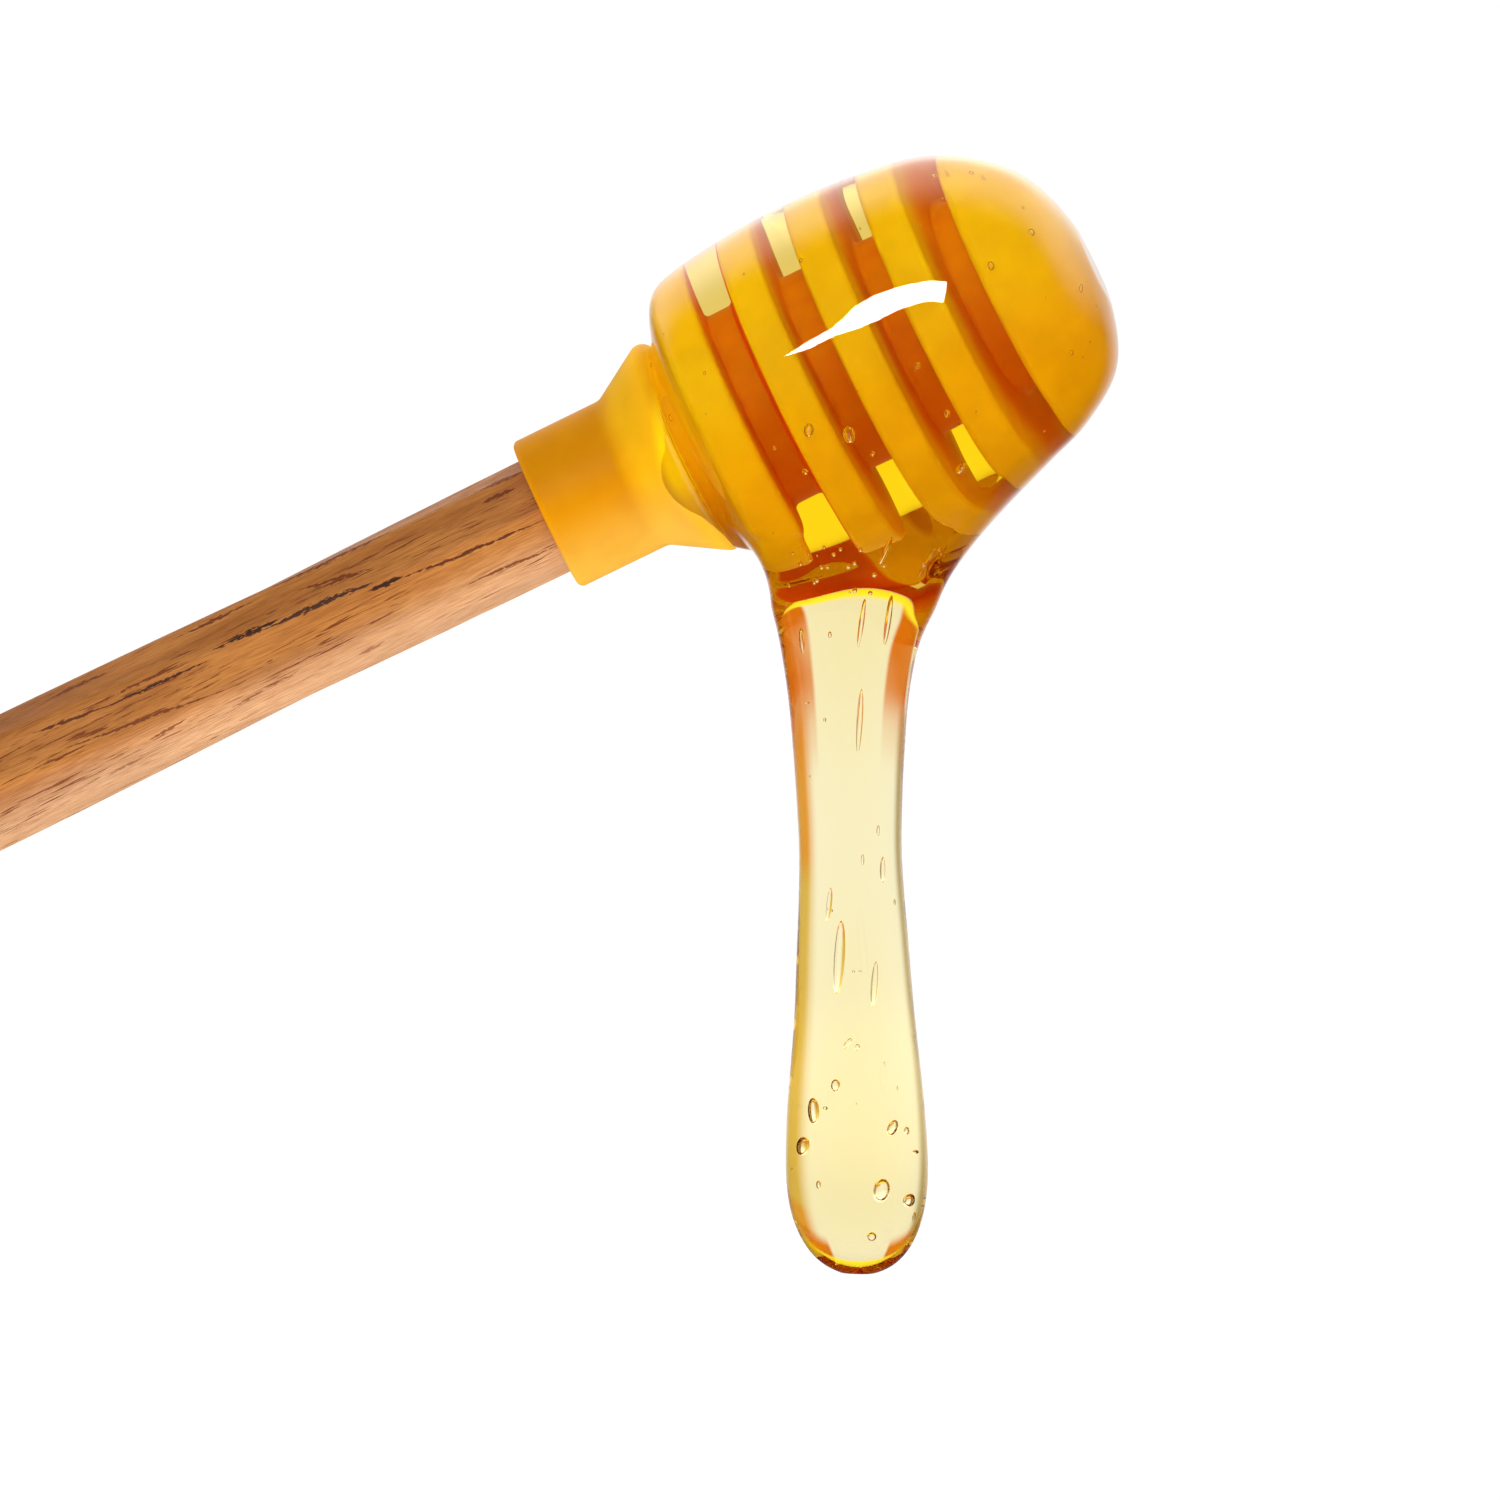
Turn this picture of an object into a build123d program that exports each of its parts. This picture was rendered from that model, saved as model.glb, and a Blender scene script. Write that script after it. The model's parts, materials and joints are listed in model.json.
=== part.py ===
from build123d import *
from math import acos, cos, degrees, radians, sin, sqrt, tan
import os

os.makedirs("parts", exist_ok=True)

# A honey dipper: a yellow silicone head pushed on a wooden handle, loaded with honey.
# It is held with its head up to the right, and one thick strand of honey hangs down.
# Origin: on the handle's axis, where the hand holds it. +Z is up, and the dipper's axis
# lies in the XZ plane and rises towards +X. Lengths are in millimetres, turns in degrees.

# How the dipper is held
lean_angle = 25.8
grip_to_mouth = 65.0

# Handle: eight facets that wind slowly round a nearly even stick
handle_length = 108.0
handle_flats = 11.9
handle_neck_flats = 11.5
arris_round = 1.2
butt_ease = 3.6
butt_ease_rise = 0.9
facet_count = 8
mouth_facet_angle = 21.7
wind_angle = 46.0
wind_gain_angle = 31.0
station_shares = (1.0, 0.85, 0.7, 0.55, 0.4, 0.25, 0.12, 0.0)

# Hanging hole near the butt
hang_hole_diameter = 4.0
hang_hole_from_butt = 10.0
hang_hole_ease = 0.4

# Turned end of the handle, inside the head
facet_inset = 1.5
spigot_diameter = 11.0
tenon_diameter = 7.8
tenon_length = 28.0
tenon_ease = 1.0
fit_clearance = 0.05
seat_gap = 0.1
end_gap = 0.6

# Silicone head: collar, cone, ringed core and domed end, in one moulding. The rings have
# draft: they are thicker at the core than at the rim, so that they leave the mould
collar_length = 10.0
collar_diameter = 16.0
mouth_round = 0.7
mouth_askew_angle = 7.0
cone_length = 7.0
cone_diameter = 24.4
cone_round = 1.2
cone_foot_round = 1.5
core_diameter = 14.0
first_gap = 3.2
ring_thickness = 3.8
groove_width = 3.7
ring_diameter = 31.6
ring_size_shares = (0.88, 0.97, 1.0, 0.97)
ring_draft_angle = 3.0
ring_round = 0.6
groove_round = 0.5
dome_diameter = 28.0
dome_length = 9.5
dome_setback = 3.0

# Honey round the head, which sags a little below the dipper's axis
honey_cover = 2.45
honey_nose = 0.55
honey_sag = 0.8
honey_start_diameter = 21.6
coat_nose_shares = (0.617, 0.973)
coat_nose_angle = 81.4
coat_crown_shares = (0.137, 0.942)
coat_throat_shares = (0.043, 0.712)

# Strand of honey, and the funnel that feeds it
strand_from_mouth = 34.2
strand_lean_angle = 1.05
funnel_drop = 6.0
funnel_height = 16.0
strand_length = 62.8
strand_diameter = 13.9
strand_waist_shares = (
    (0.096, 0.849),
    (0.223, 0.748),
    (0.334, 0.727),
    (0.541, 0.806),
    (0.733, 0.957),
)
strand_end_share = 0.844
funnel_row_shares = (
    (0.0, 0.0, 1.0, 1.0),
    (0.125, 0.04, 1.09, 1.03),
    (0.25, 0.05, 1.20, 1.10),
    (0.5, 0.09, 1.54, 1.38),
    (0.75, 0.53, 1.62, 1.55),
    (1.0, 1.27, 1.49, 1.45),
)

# One overrun serves every cut that has to pass a face
overrun = 2.0
quarter_turn_angle = 90

# Directions of the dipper: along the handle to the head, and up across it
along = Vector(cos(radians(lean_angle)), 0, sin(radians(lean_angle)))
upward = Vector(-sin(radians(lean_angle)), 0, cos(radians(lean_angle)))
towards_viewer = Vector(0, -1, 0)
across_y = Vector(0, 1, 0)

# The collar's mouth, and the section plane through the dipper's axis there
mouth_point = along * grip_to_mouth
section_plane = Plane(origin=mouth_point, x_dir=along, z_dir=towards_viewer)
dipper_axis = Axis(mouth_point, along)

# The collar's mouth is cut a little askew, so that it faces the viewer's side
mouth_plane = Plane(
    origin=mouth_point,
    x_dir=upward,
    z_dir=along * cos(radians(mouth_askew_angle))
    - towards_viewer * sin(radians(mouth_askew_angle)),
)


def across_dipper(place):
    """The plane square to the dipper's axis, a distance past the collar's mouth."""
    return Plane(origin=mouth_point + along * place, x_dir=across_y, z_dir=along)


# The handle's width and turn, from the mouth at share 0 to the butt at share 1
half_facet_angle = 360 / facet_count / 2
handle_neck_radius = (
    (handle_neck_flats / 2 - arris_round) / cos(radians(half_facet_angle)) + arris_round
)


def flats_at(share):
    """The distance across two opposite facets."""
    return handle_neck_flats + (handle_flats - handle_neck_flats) * share


def turn_at(share):
    """How far the facets have wound round by here, in degrees."""
    return mouth_facet_angle - wind_angle * share - wind_gain_angle * share**2


# Handle: wound facets, an eased butt, a hanging hole and a turned, stepped end
hole_point = mouth_point - along * (handle_length - hang_hole_from_butt)
butt_radius = handle_flats / 2 + butt_ease_rise
inset_share = -facet_inset / handle_length
with BuildPart() as handle:
    for share in station_shares + (inset_share,):
        with BuildSketch(across_dipper(-share * handle_length)) as facets:
            RegularPolygon(
                radius=flats_at(share) / 2,
                side_count=facet_count,
                major_radius=False,
                rotation=turn_at(share) + half_facet_angle,
            )
            fillet(facets.vertices(), radius=arris_round)
    loft()
    with BuildSketch(section_plane) as eased_butt:
        with Locations((-handle_length, 0)):
            Rectangle(
                handle_length + facet_inset + overrun,
                butt_radius,
                align=(Align.MIN, Align.MIN),
            )
        fillet(eased_butt.vertices().sort_by(Axis.X)[:2].sort_by(Axis.Y)[-1], radius=butt_ease)
    revolve(axis=dipper_axis, mode=Mode.INTERSECT)
    for facing in (towards_viewer, across_y):
        with Locations(
            Plane(origin=hole_point + facing * (handle_flats / 2), x_dir=along, z_dir=facing)
        ):
            CounterSinkHole(
                radius=hang_hole_diameter / 2,
                counter_sink_radius=hang_hole_diameter / 2 + hang_hole_ease,
                depth=handle_flats / 2,
            )
    with BuildSketch(across_dipper(facet_inset)):
        Circle(spigot_diameter / 2)
    extrude(amount=collar_length - facet_inset)
    with BuildSketch(across_dipper(collar_length)):
        Circle(tenon_diameter / 2)
    extrude(amount=tenon_length)
    tenon_tip = handle.faces().filter_by(GeomType.PLANE).sort_by(dipper_axis)[-1]
    chamfer(tenon_tip.edges(), length=tenon_ease)
handle.part.label = "handle"

# Places along the head, measured from the collar's mouth
cone_end = collar_length + cone_length
first_ring = cone_end + first_gap
ring_pitch = ring_thickness + groove_width
ring_starts = [first_ring + ring_pitch * number for number in range(len(ring_size_shares))]
dome_start = first_ring + ring_pitch * len(ring_size_shares)
dome_tip = dome_start + dome_length

# The dome is a stretch of an ellipse whose centre lies a little before its back face
dome_reach = dome_length + dome_setback
dome_width = dome_diameter / 2 / sqrt(1 - (dome_setback / dome_reach) ** 2)
dome_angle = degrees(acos(dome_setback / dome_reach))


def corners_at(sketch, radius, start):
    """The corners of a half section that lie at one radius, from a place on."""
    return [
        corner
        for corner in sketch.vertices()
        if abs(corner.Y - radius) < fit_clearance and corner.X > start - fit_clearance
    ]


def draft_to(radius):
    """How much a flank with draft gains from this radius in to the axis."""
    return radius * tan(radians(ring_draft_angle))


# Outer form of the head, without its socket, which the honey also follows
with BuildPart() as head_form:
    with BuildSketch(section_plane) as head_section:
        with BuildLine():
            Polyline(
                (-overrun, 0),
                (-overrun, collar_diameter / 2),
                (collar_length, collar_diameter / 2),
                (cone_end, cone_diameter / 2),
                (cone_end, 0),
                close=True,
            )
        make_face()
        with Locations((cone_end, 0)):
            Rectangle(dome_start - cone_end, core_diameter / 2, align=(Align.MIN, Align.MIN))
        for ring_start, size_share in zip(ring_starts, ring_size_shares):
            ring_radius = ring_diameter / 2 * size_share
            with Locations((ring_start + ring_thickness / 2, 0)):
                Trapezoid(
                    width=ring_thickness + 2 * draft_to(ring_radius),
                    height=ring_radius,
                    left_side_angle=quarter_turn_angle - ring_draft_angle,
                    align=(Align.CENTER, Align.MIN),
                )
        with BuildLine():
            dome_arc = EllipticalCenterArc(
                (dome_start - dome_setback, 0),
                dome_reach,
                dome_width,
                start_angle=0,
                arc_size=dome_angle,
            )
            dome_root = dome_start - draft_to(dome_diameter / 2)
            Polyline(dome_arc @ 1, (dome_root, 0), dome_arc @ 0)
        make_face()
        cone_feet = corners_at(head_section, collar_diameter / 2, collar_length)
        fillet(min(cone_feet, key=lambda corner: corner.X), radius=cone_foot_round)
        fillet(corners_at(head_section, cone_diameter / 2, cone_end), radius=cone_round)
        for size_share in sorted(set(ring_size_shares)):
            rim_radius = ring_diameter / 2 * size_share
            fillet(corners_at(head_section, rim_radius, first_ring), radius=ring_round)
        fillet(corners_at(head_section, dome_diameter / 2, dome_start), radius=ring_round)
        fillet(corners_at(head_section, core_diameter / 2, cone_end), radius=groove_round)
    revolve(axis=dipper_axis)
    split(bisect_by=mouth_plane, keep=Keep.TOP)
    mouth_face = head_form.faces().filter_by(GeomType.PLANE).sort_by(dipper_axis)[0]
    fillet(mouth_face.edges(), radius=mouth_round)

# Silicone head: the outer form with a stepped socket for the handle's turned end
with BuildPart() as dipper_head:
    add(head_form.part)
    with BuildSketch(section_plane):
        with BuildLine():
            Polyline(
                (-overrun, 0),
                (-overrun, handle_neck_radius + fit_clearance),
                (facet_inset + seat_gap, handle_neck_radius + fit_clearance),
                (facet_inset + seat_gap, spigot_diameter / 2 + fit_clearance),
                (collar_length, spigot_diameter / 2 + fit_clearance),
                (collar_length, tenon_diameter / 2 + fit_clearance),
                (collar_length + tenon_length + end_gap, tenon_diameter / 2 + fit_clearance),
                (collar_length + tenon_length + end_gap, 0),
                close=True,
            )
        make_face()
    revolve(axis=dipper_axis, mode=Mode.SUBTRACT)
dipper_head.part.label = "dipper_head"

# The honey's own axis runs a little below the dipper's
coat_start = cone_end
coat_length = dome_tip + honey_nose - coat_start
coat_radius = ring_diameter / 2 + honey_cover
coat_plane = Plane(
    origin=mouth_point - upward * honey_sag, x_dir=along, z_dir=towards_viewer
)
nose_centre = coat_start + coat_length * coat_nose_shares[0]
nose_width = coat_radius * coat_nose_shares[1]


def coat_point(shares):
    """A point of the coat's outline, from its place along the coat and its radius."""
    return (coat_start + coat_length * shares[0], coat_radius * shares[1])


# The strand hangs from a point on the dipper's axis, and leaves the funnel at its top
strand_drop = (coat_radius + honey_sag) / cos(radians(lean_angle)) + funnel_drop
strand_up = Vector(-sin(radians(strand_lean_angle)), 0, cos(radians(strand_lean_angle)))
strand_top = mouth_point + along * strand_from_mouth - Vector(0, 0, strand_drop)
strand_axis = Axis(strand_top, strand_up)
strand_radius = strand_diameter / 2


def funnel_plane(height, shift):
    """A plane across the strand, a height above its top and moved towards the nose."""
    level = Plane(origin=strand_top, x_dir=strand_up.cross(towards_viewer), z_dir=strand_up)
    return Plane(
        origin=strand_top + strand_up * height + level.x_dir * shift,
        x_dir=level.x_dir,
        z_dir=strand_up,
    )


# Honey coat: it fills the grooves, wraps the rings and dome, and gathers into a funnel
with BuildPart() as honey_coat:
    with BuildSketch(coat_plane):
        with BuildLine():
            nose = EllipticalCenterArc(
                (nose_centre, 0),
                coat_start + coat_length - nose_centre,
                nose_width,
                start_angle=0,
                arc_size=coat_nose_angle,
            )
            crown = TangentArc(nose @ 1, coat_point(coat_crown_shares), tangent=nose % 1)
            throat = TangentArc(crown @ 1, coat_point(coat_throat_shares), tangent=crown % 1)
            Polyline(throat @ 1, (coat_start, honey_start_diameter / 2), (coat_start, 0), nose @ 0)
        make_face()
    revolve(axis=Axis(coat_plane.origin, along))
    for height_share, shift_share, width_share, depth_share in funnel_row_shares:
        row_plane = funnel_plane(funnel_height * height_share, strand_radius * shift_share)
        with BuildSketch(row_plane):
            Ellipse(strand_radius * width_share, strand_radius * depth_share)
    loft()
    add(head_form.part, mode=Mode.SUBTRACT)
honey_coat.part.label = "honey_coat"

# Honey drip: the strand below the funnel, with a waist and a heavy rounded end
strand_section_plane = Plane(
    origin=strand_top, x_dir=strand_up * -1, z_dir=towards_viewer * -1
)
bulb_place = strand_length * strand_end_share
with BuildPart() as honey_drip:
    with BuildSketch(strand_section_plane):
        with BuildLine():
            waist = [
                (strand_length * place_share, strand_radius * radius_share)
                for place_share, radius_share in strand_waist_shares
            ]
            Spline(
                (0, strand_radius),
                *waist,
                (bulb_place, strand_radius),
                tangents=((1, -0.22), (1, 0)),
            )
            strand_end = EllipticalCenterArc(
                (bulb_place, 0),
                strand_length - bulb_place,
                strand_radius,
                start_angle=0,
                arc_size=quarter_turn_angle,
            )
            Polyline(strand_end @ 0, (0, 0), (0, strand_radius))
        make_face()
    revolve(axis=strand_axis)
honey_drip.part.label = "honey_drip"

export_step(handle.part, "parts/handle.step")
export_step(dipper_head.part, "parts/dipper_head.step")
export_step(honey_coat.part, "parts/honey_coat.step")
export_step(honey_drip.part, "parts/honey_drip.step")
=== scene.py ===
# %% [markdown]
# # A honey dipper, loaded with honey
# A yellow silicone head with four rings sits on a faceted wooden handle. Honey fills the
# grooves, wraps the head and hangs from it in one thick strand. The construction model
# already holds the exact solids. This lesson loads them as a fixed frame, gives the wood and
# the silicone their finish, and models the honey as one clear, wet body with air bubbles.

# %% Load the construction model as a fixed frame
import json
import random
from math import atan2, cos, exp, hypot, pi, radians, sin, sqrt, tan

import bmesh
import bpy
from mathutils import Matrix, Vector
from mathutils.interpolate import poly_3d_calc


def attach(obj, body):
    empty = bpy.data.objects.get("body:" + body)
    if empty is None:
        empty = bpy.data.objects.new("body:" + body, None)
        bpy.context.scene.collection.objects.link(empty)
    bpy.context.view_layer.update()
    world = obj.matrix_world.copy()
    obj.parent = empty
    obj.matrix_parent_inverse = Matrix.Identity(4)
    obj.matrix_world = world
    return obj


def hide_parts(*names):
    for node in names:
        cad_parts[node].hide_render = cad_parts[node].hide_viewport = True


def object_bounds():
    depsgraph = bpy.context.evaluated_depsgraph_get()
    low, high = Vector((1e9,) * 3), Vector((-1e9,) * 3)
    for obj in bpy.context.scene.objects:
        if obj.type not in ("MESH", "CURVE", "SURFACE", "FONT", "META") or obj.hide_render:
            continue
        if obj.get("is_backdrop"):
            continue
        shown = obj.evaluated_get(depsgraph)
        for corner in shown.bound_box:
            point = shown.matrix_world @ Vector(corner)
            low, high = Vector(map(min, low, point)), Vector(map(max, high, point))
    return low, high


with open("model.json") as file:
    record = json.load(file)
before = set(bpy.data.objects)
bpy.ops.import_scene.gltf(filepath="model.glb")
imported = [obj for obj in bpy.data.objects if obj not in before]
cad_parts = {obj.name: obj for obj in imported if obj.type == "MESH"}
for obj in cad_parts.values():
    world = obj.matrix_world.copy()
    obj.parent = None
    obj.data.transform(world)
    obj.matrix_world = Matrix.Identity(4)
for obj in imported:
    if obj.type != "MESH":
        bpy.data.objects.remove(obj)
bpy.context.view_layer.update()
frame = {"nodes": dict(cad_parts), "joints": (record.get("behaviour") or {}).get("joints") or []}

mm = 0.001
hair = 0.001 * mm

# %% [markdown]
# ## Directions of the dipper
# The dipper leans: its axis rises to the right, towards the head. Every round form on it is
# easier to describe along that axis, so this cell names the axis and the point where the
# silicone collar opens, and makes one matrix that carries a shape from upright, with its axis
# on Z, to its place on the dipper. In the upright frame X points to the underside.

# %% The dipper's own axis
lean_angle = radians(25.8)
grip_to_mouth = 65 * mm
along = Vector((cos(lean_angle), 0, sin(lean_angle)))
below = Vector((sin(lean_angle), 0, -cos(lean_angle)))
across = Vector((0, 1, 0))
mouth = along * grip_to_mouth
to_dipper = Matrix.Translation(mouth) @ Matrix((below, across, along)).transposed().to_4x4()
pull = next(joint for joint in frame["joints"] if joint["name"] == "head_pull")
print("axis here", [round(c, 4) for c in along], "and in the joint", pull["axis"])

# %% [markdown]
# ## Camera
# The photo was taken with a long lens, level with the dipper, and turned a little so that the
# domed end comes forward: the rings' edges bulge towards the handle. A long lens far away
# gives the same flat look. The picture is square and shows 150 mm across. Half a degree
# of roll lays the handle on its line in the photo.

# %% Camera at the photo's angle
view_turn = radians(9)
view_roll = radians(0.43)
view_distance = 600 * mm
picture_width = 149.4 * mm
picture_pixels = 1500
sensor = 36
picture_centre = Vector((79.42, 0, 4.99)) * mm
towards_camera = Vector((sin(view_turn), -cos(view_turn), 0))
camera = bpy.data.objects.new("camera", bpy.data.cameras.new("camera"))
bpy.context.scene.collection.objects.link(camera)
camera.data.sensor_width = sensor
camera.data.lens = sensor * view_distance / picture_width
camera.data.clip_start = 10 * mm
camera.data.clip_end = 20
level_view = Matrix.Rotation(view_turn, 3, "Z") @ Matrix.Rotation(pi / 2, 3, "X")
camera_turn = level_view @ Matrix.Rotation(view_roll, 3, "Z")
camera.matrix_world = Matrix.LocRotScale(
    picture_centre + towards_camera * view_distance, camera_turn.to_quaternion(), None
)
bpy.context.scene.camera = camera


def sight_line(across_pixels, down_pixels):
    """The camera's place and the direction in which it sees a pixel of the picture."""
    half = picture_pixels / 2
    step = picture_width / picture_pixels
    seen = Vector(((across_pixels - half) * step, (half - down_pixels) * step, -view_distance))
    return camera.matrix_world.translation, (camera_turn @ seen).normalized()


print("lens", camera.data.lens, "mm, centre of the picture", sight_line(750, 750)[1][:])

# %% [markdown]
# ## Helpers for modelling
# Each helper does one thing that a hand would do in the window: take hold of an object, stack
# rings by extruding and resizing an edge loop, and apply a modifier. Stacking rings is a
# potter's way to make a round body: each new ring is drawn out of the last one and set to its
# own width. A lathe profile would do too, but here a ring may also slip sideways, as a
# sagging liquid does.

# %% Helpers: selecting, stacking rings, applying
def take(thing):
    """Make one object the only selected and active one."""
    bpy.ops.object.select_all(action="DESELECT")
    thing.select_set(True)
    bpy.context.view_layer.objects.active = thing


def edit(thing, mode="VERT"):
    """Open an object in edit mode with nothing selected and give its mesh."""
    take(thing)
    bpy.ops.object.mode_set(mode="EDIT")
    bpy.ops.mesh.select_mode(type=mode)
    bpy.ops.mesh.select_all(action="DESELECT")
    return bmesh.from_edit_mesh(thing.data)


def leave_edit():
    """Go back to object mode, which writes the edited mesh to its object."""
    bpy.ops.object.mode_set(mode="OBJECT")


def select_vertices(thing, wanted):
    """In edit mode, select the vertices for which wanted is true."""
    bpy.ops.mesh.select_mode(type="VERT")
    bpy.ops.mesh.select_all(action="DESELECT")
    skin = bmesh.from_edit_mesh(thing.data)
    for vertex in skin.verts:
        vertex.select_set(wanted(vertex))
    skin.select_flush_mode()
    bmesh.update_edit_mesh(thing.data)


def stack_rings(name, sides, rows):
    """A round skin through rows of (height, radius, shift), left in edit mode, top selected."""
    height, radius, shift = rows[0]
    bpy.ops.object.select_all(action="DESELECT")
    bpy.ops.mesh.primitive_circle_add(
        vertices=sides, radius=radius, fill_type="NOTHING", location=(shift, 0, height)
    )
    thing = bpy.context.active_object
    thing.name = thing.data.name = name
    bpy.ops.object.transform_apply(location=True, rotation=True, scale=True)
    bpy.ops.object.mode_set(mode="EDIT")
    bpy.ops.mesh.select_all(action="SELECT")
    for before, (height, radius, shift) in zip(rows, rows[1:]):
        rise = (shift - before[2], 0, height - before[0])
        bpy.ops.mesh.extrude_edges_move(TRANSFORM_OT_translate={"value": rise})
        grow = radius / before[1]
        bpy.ops.transform.resize(value=(grow, grow, 1), center_override=(shift, 0, height))
    return thing


def close_ring(thing, row, span=None):
    """Close the ring of one row with a face, or with a grid of faces."""
    select_vertices(thing, lambda vertex: abs(vertex.co.z - row[0]) < hair)
    if span:
        bpy.ops.mesh.fill_grid(span=span)
    else:
        bpy.ops.mesh.edge_face_add()


def apply_modifier(thing, kind, **settings):
    """Add one modifier, set it and apply it."""
    take(thing)
    modifier = thing.modifiers.new(kind.lower(), kind)
    for key, value in settings.items():
        setattr(modifier, key, value)
    bpy.ops.object.modifier_apply(modifier=modifier.name)


def place(thing, matrix):
    """Carry a shape to its place and leave its object unturned at the origin."""
    thing.matrix_world = matrix
    take(thing)
    bpy.ops.object.transform_apply(location=True, rotation=True, scale=True)


def triangles(thing):
    """How many triangles an object's faces make."""
    return sum(len(face.vertices) - 2 for face in thing.data.polygons)


print("helpers are ready")

# %% [markdown]
# ## The honey's outer form, round the head
# On the real dipper the honey covers the four rings and the dome with a coat about 2 mm thick
# and sags below the axis. It could be a voxel remesh of overlapping blobs, but that leaves
# small ripples, and clear honey shows each one. A coarse cage of rings, made smooth by a
# subdivision surface, bends light as cleanly as a liquid. Each row gives the place along the
# axis, the radius and how far the ring has sagged.

# %% Cage of the coat
coat_sides = 40
coat_rows = [
    (place_along * mm, radius * mm, sag * mm)
    for place_along, radius, sag in (
        (15.6, 9.6, 0.2),
        (16.4, 10.6, 0.3),
        (17.0, 10.9, 0.5),
        (17.6, 11.5, 0.55),
        (18.2, 13.1, 0.6),
        (18.9, 15.0, 0.7),
        (19.9, 16.3, 0.75),
        (21.5, 17.0, 0.8),
        (24.0, 17.4, 0.8),
        (27.0, 17.75, 0.8),
        (30.0, 18.0, 0.8),
        (33.0, 18.1, 0.8),
        (36.0, 18.1, 0.8),
        (39.0, 18.0, 0.8),
        (42.0, 17.75, 0.8),
        (45.0, 17.4, 0.8),
        (47.6, 16.95, 0.7),
        (50.0, 16.2, 0.6),
        (52.3, 15.1, 0.6),
        (54.4, 13.8, 0.7),
        (56.4, 12.3, 0.9),
        (58.1, 10.4, 1.2),
        (59.4, 7.6, 1.4),
        (60.25, 4.2, 1.45),
    )
]
honey = stack_rings("honey", coat_sides, coat_rows)
bpy.ops.mesh.fill_grid(span=coat_sides // 4)
close_ring(honey, coat_rows[0], span=coat_sides // 4)
leave_edit()
print("cage of the coat:", len(honey.data.polygons), "faces")

# %% [markdown]
# ## A film that crept over the cone
# At the front, honey has crept from the head over the lower half of the silicone cone, as a
# film a few tenths of a millimetre thick. The first rings of the cage are drawn back over the
# cone there: each vertex moves to a new place and to the cone's own radius plus the film.
# The last of these rings dips into the silicone, which is how a thin edge ends.

# %% Draw the first rings back over the cone
collar_radius, cone_foot, cone_slope = 8 * mm, 10 * mm, 0.6
film_rows = [(12.0, -0.9), (12.7, -0.12), (14.2, 0.28), (16.5, 0.42)]
film_turn, film_width = radians(-68), radians(42)
underside_share = 0.45


def film_share(turn):
    """How far the film reaches at a turn from the underside; the camera is at minus 90."""
    front = exp(-(((turn - film_turn) / film_width) ** 2))
    back = 0.5 * exp(-(((turn + film_turn) / film_width) ** 2))
    return max(front, back, underside_share * exp(-((turn / film_width) ** 2)))


edit(honey)
cage = bmesh.from_edit_mesh(honey.data)
for (row_place, row_radius, row_sag), (film_place, film_height) in zip(coat_rows, film_rows):
    film_radius = collar_radius + (film_place * mm - cone_foot) * cone_slope + film_height * mm
    for vertex in cage.verts:
        out = hypot(vertex.co.x - row_sag, vertex.co.y)
        if abs(vertex.co.z - row_place) < hair and out > 0.99 * row_radius:
            turn = atan2(vertex.co.y, vertex.co.x - row_sag)
            target = Vector((film_radius * cos(turn), film_radius * sin(turn), film_place * mm))
            vertex.co = vertex.co.lerp(target, film_share(turn))
bmesh.update_edit_mesh(honey.data)
leave_edit()
print("film reaches back to", film_rows[0][0], "mm from the mouth")

# %% [markdown]
# ## The opening that feeds the strand
# The honey runs round both sides of the head and leaves it along the whole underside. In the
# cage this is an opening: its faces are picked by their place, between two rings and within
# a set angle of the underside, and deleted. The rim that stays is the start of the funnel.

# %% Opening under the head
opening_last = 18
opening_turn = radians(46)
opening_start = 17.0 * mm


def in_opening(face):
    """A face of the underside, between the first and last ring of the opening."""
    middle = face.calc_center_median()
    inside = opening_start < middle.z < coat_rows[opening_last][0]
    return inside and abs(atan2(middle.y, middle.x)) < opening_turn


cage = edit(honey, "FACE")
for face in cage.faces:
    face.select_set(in_opening(face))
bmesh.update_edit_mesh(honey.data)
bpy.ops.mesh.delete(type="FACE")
leave_edit()
place(honey, to_dipper)
print("honey with its opening:", len(honey.data.polygons), "faces")

# %% [markdown]
# ## Funnel and strand
# From the rim the honey falls: at first it follows the head, then it turns and hangs straight
# down. Each point of the rim goes down its own smooth curve to a point of the strand's top
# ring, and leaves in the direction that the coat already has there, so that no crease shows.
# The rim is extruded once for each step, and the new loop is laid on the curves, with its
# corners eased as a liquid's skin would ease them. The strand then goes on in round rings: it
# thins to a waist and swells to a heavy drop.

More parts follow.
